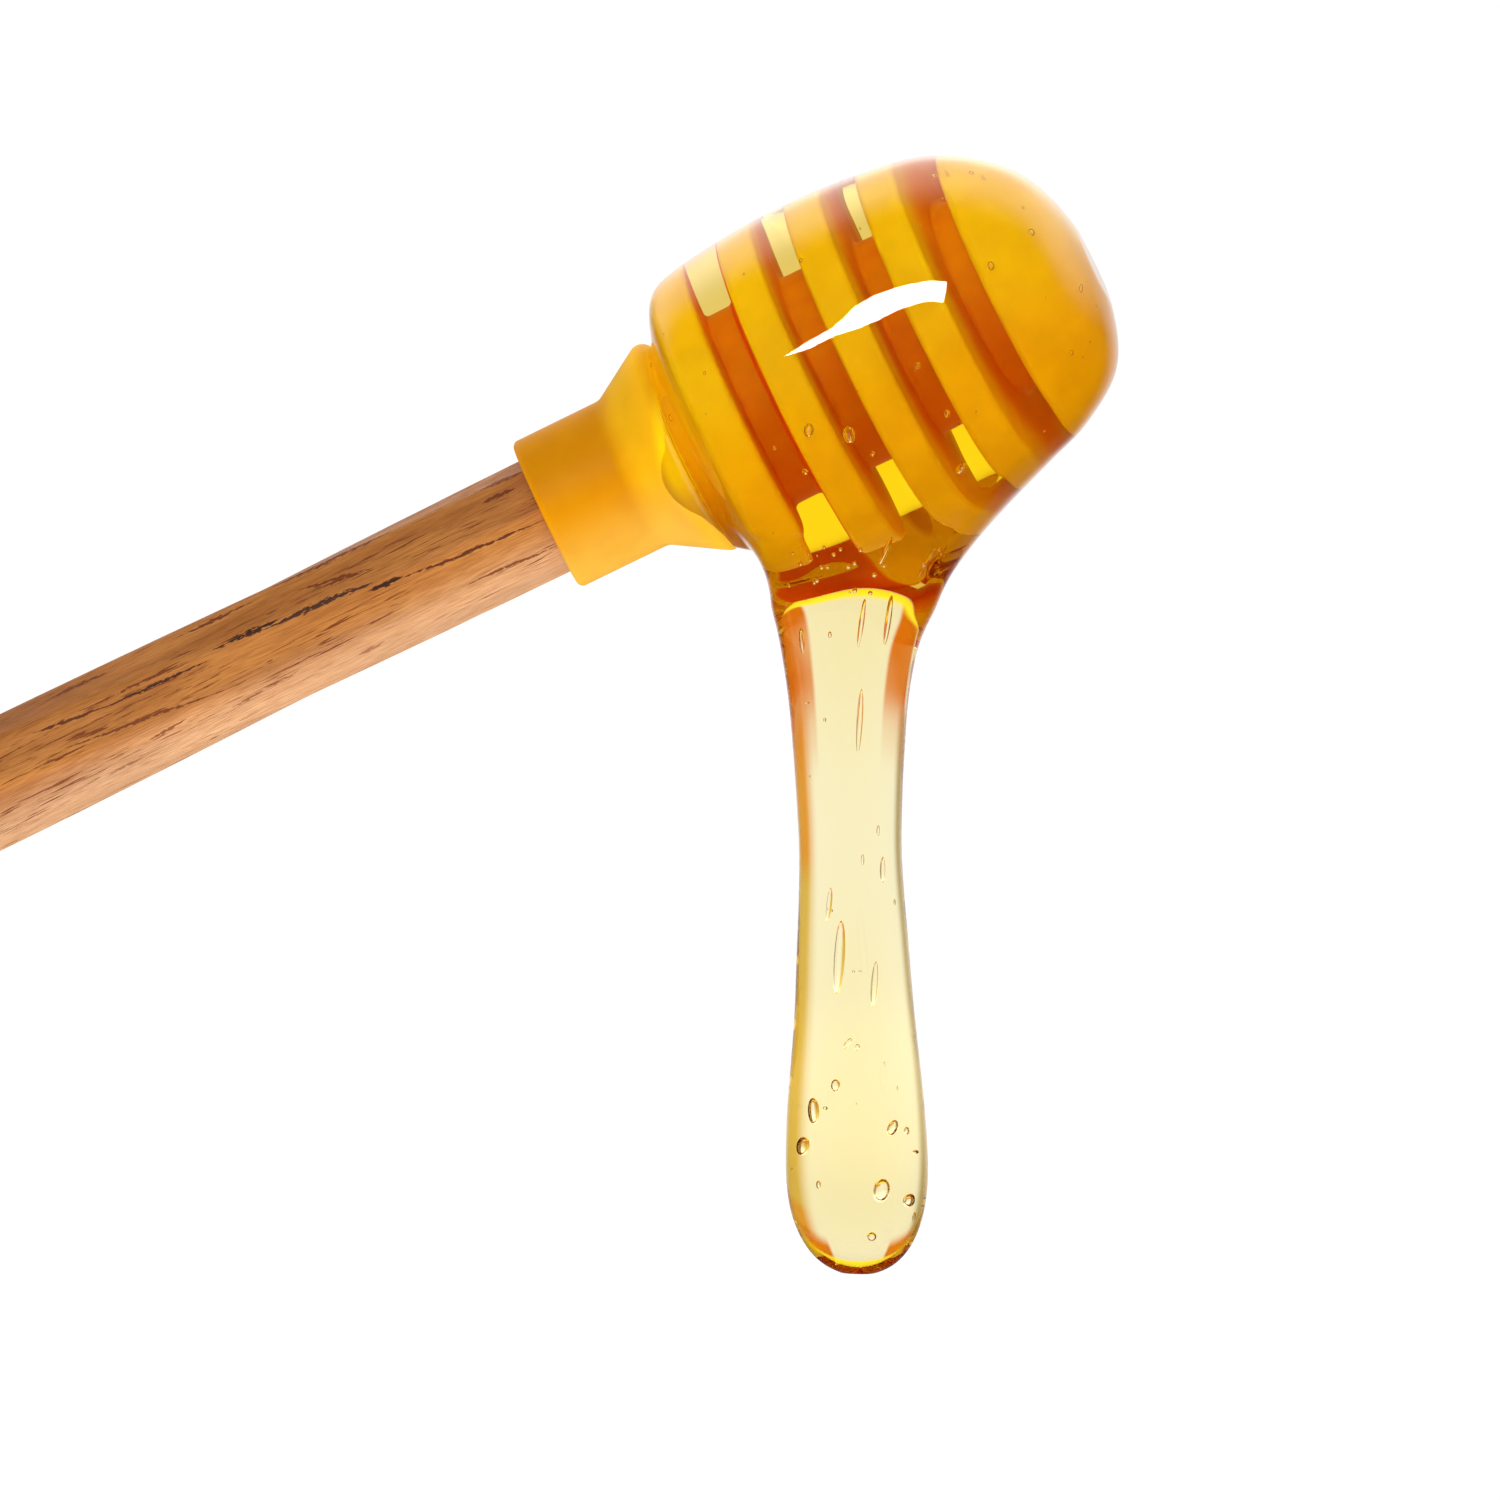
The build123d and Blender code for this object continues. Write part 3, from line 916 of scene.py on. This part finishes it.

# %% [markdown]
# ## Finish of the wood
# The handle is an open-grained hardwood: tan to red brown, with fibres that run along it, and
# short dark lines where the knife has opened a pore. Three noises, stretched along the axis,
# give tone, fibres and pores, and a fourth gathers the pores into groups. The underside is
# painted paler, a painted sheen of the bright floor below it. The dark lines that the photo
# shows on the front are added one by one, each as a start and an end in millimetres before
# the collar's mouth and above the axis, because they make this stick this stick. Two more
# noises let them waver and fray. All of them also sink the surface a little.

# %% The lines on the front: start, its height, end, its height, thickness, darkness
front_lines = (
    (-56.0, 2.4, -46.0, 1.3, 0.22, 0.9),
    (-48.0, 1.4, -36.0, 1.15, 0.24, 0.95),
    (-51.0, 2.3, -38.0, 2.1, 0.16, 0.7),
    (-35.5, 2.0, -27.5, 1.7, 0.34, 1.0),
    (-30.0, 1.5, -17.5, 0.85, 0.34, 0.95),
    (-18.5, 0.35, -14.5, 0.05, 0.3, 1.0),
    (-16.0, 0.05, 1.0, -1.15, 0.18, 0.9),
    (-25.5, 3.6, -17.5, 2.3, 0.24, 0.7),
    (-24.0, 2.8, -17.0, 2.2, 0.16, 0.8),
    (-54.0, 5.1, -46.0, 4.8, 0.22, 0.75),
    (-39.0, 4.9, -30.0, 4.7, 0.22, 0.75),
    (-28.0, 5.2, -14.0, 5.0, 0.22, 0.8),
    (-5.0, 4.7, 1.0, 4.5, 0.22, 0.8),
    (-4.6, 3.4, -0.8, 3.2, 0.24, 0.85),
    (-54.0, -0.5, -35.0, -2.3, 0.2, 0.7),
    (-10.0, -3.4, 1.0, -3.7, 0.16, 0.6),
    (-45.5, -3.3, -40.8, -3.1, 0.18, 0.6),
    (-51.0, -4.6, -46.5, -4.5, 0.16, 0.45),
    (-36.5, -4.1, -32.5, -3.8, 0.18, 0.5),
    (-32.5, -3.8, -28.5, -3.5, 0.14, 0.5),
    (-23.0, -4.7, -19.5, -4.6, 0.16, 0.45),
)
print("dark lines on the front:", len(front_lines))

# %% Open-grained wood: lines and pores
waver = 0.7 * mm
wood = Nodes("open-grained wood")
wobble = wood.math("MULTIPLY", wood.math("SUBTRACT", wood.noise((130, 300, 300)), 0.5), waver)
height = wood.math("ADD", wood.z, wobble)
ragged = wood.span(wood.noise((1400, 5000, 5000), detail=3.0), 0.32, 0.68, 0.1, 1.5)
lines = 0.0
for start, start_height, end, end_height, thickness, darkness in front_lines:
    share = wood.span(wood.x, start * mm, end * mm, smooth=False)
    middle = wood.span(wood.x, start * mm, end * mm, start_height * mm, end_height * mm, False)
    away = wood.math("ABSOLUTE", wood.math("SUBTRACT", height, middle))
    taper = wood.math("SINE", wood.math("MULTIPLY", share, pi))
    width = wood.math("MULTIPLY", wood.math("MULTIPLY", taper, thickness * mm), ragged)
    ratio = wood.math("DIVIDE", away, wood.math("MAXIMUM", width, hair))
    mark = wood.span(ratio, 0.5, 1.3, darkness, 0.0)
    lines = wood.math("MAXIMUM", lines, mark)
lines = wood.math("MULTIPLY", lines, wood.math("LESS_THAN", wood.y, 0.0))
pores = wood.span(wood.noise((190, 4200, 4200), detail=3.0, roughness=0.6), 0.56, 0.65)
groups = wood.span(wood.noise((45, 420, 420), detail=1.0, offset=(3, 1, 7)), 0.42, 0.58)
pores = wood.math("MULTIPLY", wood.math("MULTIPLY", pores, groups), 0.72)
marks = wood.math("MAXIMUM", lines, pores)
print("lines and pores take", len(wood.nodes), "nodes")

# %% Open-grained wood: tone, fibres, a painted sheen below, colour and gloss
brown_wood, tan_wood, sheen_pale_wood = (
    (0.40, 0.136, 0.025, 1), (0.58, 0.23, 0.052, 1), (0.80, 0.55, 0.36, 1)
)
fibre_tint, red_line, dark_line = (
    (0.77, 0.69, 0.59, 1), (0.20, 0.045, 0.009, 1), (0.045, 0.018, 0.01, 1)
)
# Painted sheen: the underside is painted paler and whiter, for the bright floor that it mirrors.
wood_sheen_heights, most_wood_sheen = (-1 * mm, -5.5 * mm), 0.45
tone = wood.span(wood.noise((40, 330, 330), detail=2.0, offset=(5, 2, 3)), 0.3, 0.7)
fibres = wood.span(wood.noise((420, 7500, 7500), detail=2.0), 0.3, 0.7)
colour = wood.blend(tone, brown_wood, tan_wood)
colour = wood.blend(wood.span(wood.z, *wood_sheen_heights, 0.0, most_wood_sheen), colour, sheen_pale_wood)
colour = wood.blend(fibres, colour, fibre_tint, "MULTIPLY")
colour = wood.blend(wood.span(marks, 0.0, 0.75), colour, red_line)
colour = wood.blend(wood.span(marks, 0.8, 1.0), colour, dark_line)
wood.feed(wood.shader.inputs["Base Color"], colour)
wood.shader.inputs["Specular IOR Level"].default_value = 0.1
wood.feed(wood.shader.inputs["Roughness"], wood.span(fibres, 0.0, 1.0, 0.42, 0.56, False))
grooves = wood.bump(wood.math("SUBTRACT", 1.0, marks), 0.06 * mm, 0.8)
wood.feed(wood.shader.inputs["Normal"], wood.bump(fibres, 0.006 * mm, 0.5, grooves))
dress(frame["nodes"]["handle"], wood.material)
print("wood has", len(wood.nodes), "nodes")

# %% [markdown]
# ## Studio
# The dipper hangs in front of a bright, seamless white. A wide, shallow bowl is floor and
# wall in one, so every view has a pale ground and no horizon. It glows more from below than
# from above, because in the photo the undersides of the collar and of the handle are lit most.

# %% White bowl that glows
bowl_rows = [
    (height * mm, radius * mm, 0)
    for height, radius in (
        (-95, 200), (-95, 900), (-60, 1250), (60, 1450), (400, 1600), (900, 1650)
    )
]
glow_below, glow_level, glow_above = 1.1, 1.04, 0.85


def glow(name):
    """A node tree of pure light, with the direction seen from the dipper as x, y and z."""
    tree = Nodes(name, lean=0, start=0)
    tree.material.cycles.emission_sampling = "NONE"
    toward = tree.add("ShaderNodeVectorMath", operation="NORMALIZE")
    tree.feed(toward.inputs[0], tree.turned.outputs[0])
    parts = tree.add("ShaderNodeSeparateXYZ")
    tree.feed(parts.inputs[0], toward.outputs["Vector"])
    tree.x, tree.y, tree.z = parts.outputs
    tree.shader.inputs["Base Color"].default_value = (0, 0, 0, 1)
    tree.shader.inputs["Specular IOR Level"].default_value = 0
    return tree


bowl = stack_rings("stage_bowl", 96, bowl_rows)
close_ring(bowl, bowl_rows[0])
leave_edit()
bpy.ops.object.shade_smooth()
white = glow("white studio")
low_part = white.span(white.z, -0.7, -0.05, glow_below, glow_level)
high_part = white.span(white.z, 0.05, 0.7, 0.0, glow_level - glow_above)
white.feed(white.shader.inputs["Emission Strength"], white.math("SUBTRACT", low_part, high_part))
white.shader.inputs["Emission Color"].default_value = (1, 1, 1, 1)
dress(bowl, white.material)
bowl.visible_glossy = bowl.visible_transmission = bowl.visible_shadow = False
bowl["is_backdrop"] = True
world = bpy.data.worlds.new("studio")
bpy.context.scene.world = world
world.use_nodes = True
world.node_tree.nodes["Background"].inputs["Strength"].default_value = glow_above
world.node_tree.nodes["Background"].inputs["Color"].default_value = (1, 1, 1, 1)
print("bowl of", bowl_rows[-1][1], "m radius")

# %% [markdown]
# ## What the honey mirrors and what it bends
# A photographer gives a clear thing its form with cards that stand outside the picture. Two
# large spheres take their place here. Only mirrored rays see the first one: it is dark towards
# the camera, so that no grey veil lies on the honey, dark below, and bright above and behind,
# which gives the pale haze along the honey's upper edge. Only rays that honey has bent see
# the second one: it is white, with an amber side on the right and a brown one on the left,
# and these colour the strand's left and right edge, because a round strand bends its edge
# rays to the far side. A little higher both sides are rust red, for the edges of the neck,
# and a lemon patch high up behind shows through the lower gaps between the rings.

# %% The sphere for mirrored rays
def light_sphere(name, centre, radius, tree):
    """A sphere of light that the camera doesn't see."""
    bpy.ops.object.select_all(action="DESELECT")
    bpy.ops.mesh.primitive_uv_sphere_add(
        segments=64, ring_count=32, radius=radius, location=centre
    )
    sphere = bpy.context.active_object
    sphere.name = sphere.data.name = name
    bpy.ops.object.shade_smooth()
    dress(sphere, tree.material)
    sphere.visible_camera = sphere.visible_diffuse = sphere.visible_shadow = False
    sphere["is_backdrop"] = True
    return sphere


sky_strength, edge_strength, front_strength, low_share = 1.4, 0.9, 0.03, 0.15
mirrored_radius = 1.5
mirrored_light = glow("light for mirrored rays")
towards_back = mirrored_light.span(mirrored_light.y, -0.15, 0.35)
overhead = mirrored_light.span(mirrored_light.z, 0.1, 0.6)
sky = mirrored_light.math("MULTIPLY", towards_back, overhead)
sky = mirrored_light.math("MULTIPLY", sky, sky_strength)
edge = mirrored_light.span(mirrored_light.y, 0.7, 1.0, front_strength, edge_strength)
not_below = mirrored_light.span(mirrored_light.z, -0.3, -0.03, low_share, 1.0)
edge = mirrored_light.math("MULTIPLY", edge, not_below)
strength = mirrored_light.math("ADD", sky, edge)
mirrored_light.feed(mirrored_light.shader.inputs["Emission Strength"], strength)
mirrored_light.shader.inputs["Emission Color"].default_value = (1, 1, 1, 1)
mirrored_studio = light_sphere("mirrored_studio", (0, 0, 0), mirrored_radius, mirrored_light)
mirrored_studio.visible_transmission = False
print("light for mirrored rays has", len(mirrored_light.nodes), "nodes")

# %% The sphere for bent rays
bent_centre, bent_radius = Vector((90, 0, 5)) * mm, 160 * mm
amber, olive, umber = (0.80, 0.33, 0.01, 1), (0.75, 0.50, 0.08, 1), (0.42, 0.33, 0.19, 1)
rust, lemon = (0.78, 0.2, 0.01, 1), (1.3, 1.15, 0.06, 1)
bent_light = glow("light for bent rays")
view_side = bent_light.math(
    "ADD",
    bent_light.math("MULTIPLY", bent_light.x, cos(view_turn)),
    bent_light.math("MULTIPLY", bent_light.y, sin(view_turn)),
)
right_side = bent_light.span(view_side, 0.44, 0.72)
left_side = bent_light.span(view_side, -0.64, -0.84)
strand_height = bent_light.span(bent_light.z, 0.14, 0.24, 1.0, 0.0)
tint = bent_light.blend(bent_light.span(bent_light.z, -0.16, -0.06), olive, amber)
right_share = bent_light.math("MULTIPLY", right_side, strand_height)
left_share = bent_light.math("MULTIPLY", left_side, strand_height)
bent_colour = bent_light.blend(right_share, (1, 1, 1, 1), tint)
bent_colour = bent_light.blend(left_share, bent_colour, umber)
neck_height = bent_light.math(
    "MULTIPLY",
    bent_light.span(bent_light.z, 0.04, 0.25),
    bent_light.span(bent_light.z, 0.46, 0.56, 1.0, 0.0),
)
aside = bent_light.span(bent_light.math("ABSOLUTE", view_side), 0.36, 0.42)
behind = bent_light.span(bent_light.y, 0.25, 0.4)
neck_share = bent_light.math("MULTIPLY", bent_light.math("MULTIPLY", aside, behind), neck_height)
bent_colour = bent_light.blend(neck_share, bent_colour, rust)
high_behind = bent_light.math("MULTIPLY", bent_light.span(bent_light.z, 0.40, 0.52), behind)
bent_colour = bent_light.blend(high_behind, bent_colour, lemon)
bent_light.feed(bent_light.shader.inputs["Emission Color"], bent_colour)
bent_strength = bent_light.span(bent_light.z, -0.75, -0.2, 1.7, 1.07)
bent_light.feed(bent_light.shader.inputs["Emission Strength"], bent_strength)
light_sphere("bent_studio", bent_centre, bent_radius, bent_light).visible_glossy = False
print("light for bent rays has", len(bent_light.nodes), "nodes")

# %% [markdown]
# ## Lamp
# One broad softbox under the dipper lights the lower facets of the handle and the underside
# of the collar, and gives the wood its sheen there, so that the ridges between the facets
# show. Light linking keeps it off the honey, where it would stand as a second bright patch.

# %% Softbox below, for the handle and the head only
lamp_target = Vector((40, 0, 10)) * mm
lamp_direction = Vector((0.1, -0.3, -0.95)).normalized()
lamp_distance, lamp_size, lamp_watts = 0.6, 0.4, 2.2
lamp = bpy.data.objects.new("low_softbox", bpy.data.lights.new("low_softbox", "AREA"))
bpy.context.scene.collection.objects.link(lamp)
lamp.data.size = lamp_size
lamp.data.energy = lamp_watts
lamp.location = lamp_target + lamp_direction * lamp_distance
lamp.rotation_euler = lamp_direction.to_track_quat("Z", "Y").to_euler()
lamp.visible_transmission = lamp.visible_camera = False
lit_pieces = bpy.data.collections.new("lit by the low softbox")
lit_pieces.objects.link(frame["nodes"]["handle"])
lit_pieces.objects.link(frame["nodes"]["dipper_head"])
lamp.light_linking.receiver_collection = lit_pieces
print("softbox at", [round(c / mm) for c in lamp.location])

# %% [markdown]
# ## The bright reflection on the honey
# The photo's honey carries one white, leaf-shaped reflection of a window. Where a lamp has to
# stand to be seen there follows from the mirror law: a ray from the camera to each corner of
# the reflection is mirrored at the honey's surface, and a card is hung where the mirrored
# rays go. Only glossy rays see the card, so it adds the reflection and no other light.

# %% A card where the mirrored rays meet it
reflection_outline = (
    (783, 357), (809, 341), (832, 328), (842, 319), (854, 307), (875, 295), (897, 287),
    (918, 283), (947, 282), (943, 303), (924, 302), (898, 310), (877, 321), (854, 330),
    (835, 336), (811, 348),
)
card_distance = 1.0
card_glow = 30


def mirrored(across_px, down_px):
    """Where the card is hit by the camera's ray, mirrored at the honey's smooth surface."""
    start, sight = sight_line(across_px, down_px)
    where, flat_normal, number = honey.ray_cast(start, sight)[1:]
    vertices = [honey.data.vertices[index] for index in honey.data.polygons[number].vertices]
    weights = poly_3d_calc([vertex.co for vertex in vertices], where)
    normal = sum((v.normal * weight for v, weight in zip(vertices, weights)), Vector())
    return where + sight.reflect(normal.normalized()) * card_distance


corners = [mirrored(*pixel) for pixel in reflection_outline]
card_mesh = bpy.data.meshes.new("reflection_card")
card_mesh.from_pydata(corners, [], [list(range(len(corners)))])
card = bpy.data.objects.new("reflection_card", card_mesh)
bpy.context.scene.collection.objects.link(card)
card_light, nodes, links = new_material("bright card")
shader = nodes["Principled BSDF"]
shader.inputs["Base Color"].default_value = (0, 0, 0, 1)
shader.inputs["Emission Color"].default_value = (1, 1, 1, 1)
shader.inputs["Emission Strength"].default_value = card_glow
dress(card, card_light)
card.visible_camera = card.visible_diffuse = card.visible_transmission = False
card.visible_shadow = card.visible_volume_scatter = False
card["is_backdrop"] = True
print("card corners, mm:", [[round(c / mm) for c in corner] for corner in corners])

# %% [markdown]
# ## Picture settings and the finish
# The colours are shown as they are, and light may pass many surfaces, because a ray in the
# honey crosses walls and bubbles before it leaves, and is often mirrored inside on the way.

# %% Settings, sizes and the end
most_bounces = 24
scene = bpy.context.scene
scene.view_settings.view_transform = "Standard"
scene.cycles.use_denoising = True
scene.cycles.max_bounces = most_bounces
scene.cycles.transmission_bounces = most_bounces
scene.cycles.glossy_bounces = most_bounces
low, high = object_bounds()
print("visual model, mm:", [round(side / mm, 1) for side in high - low])
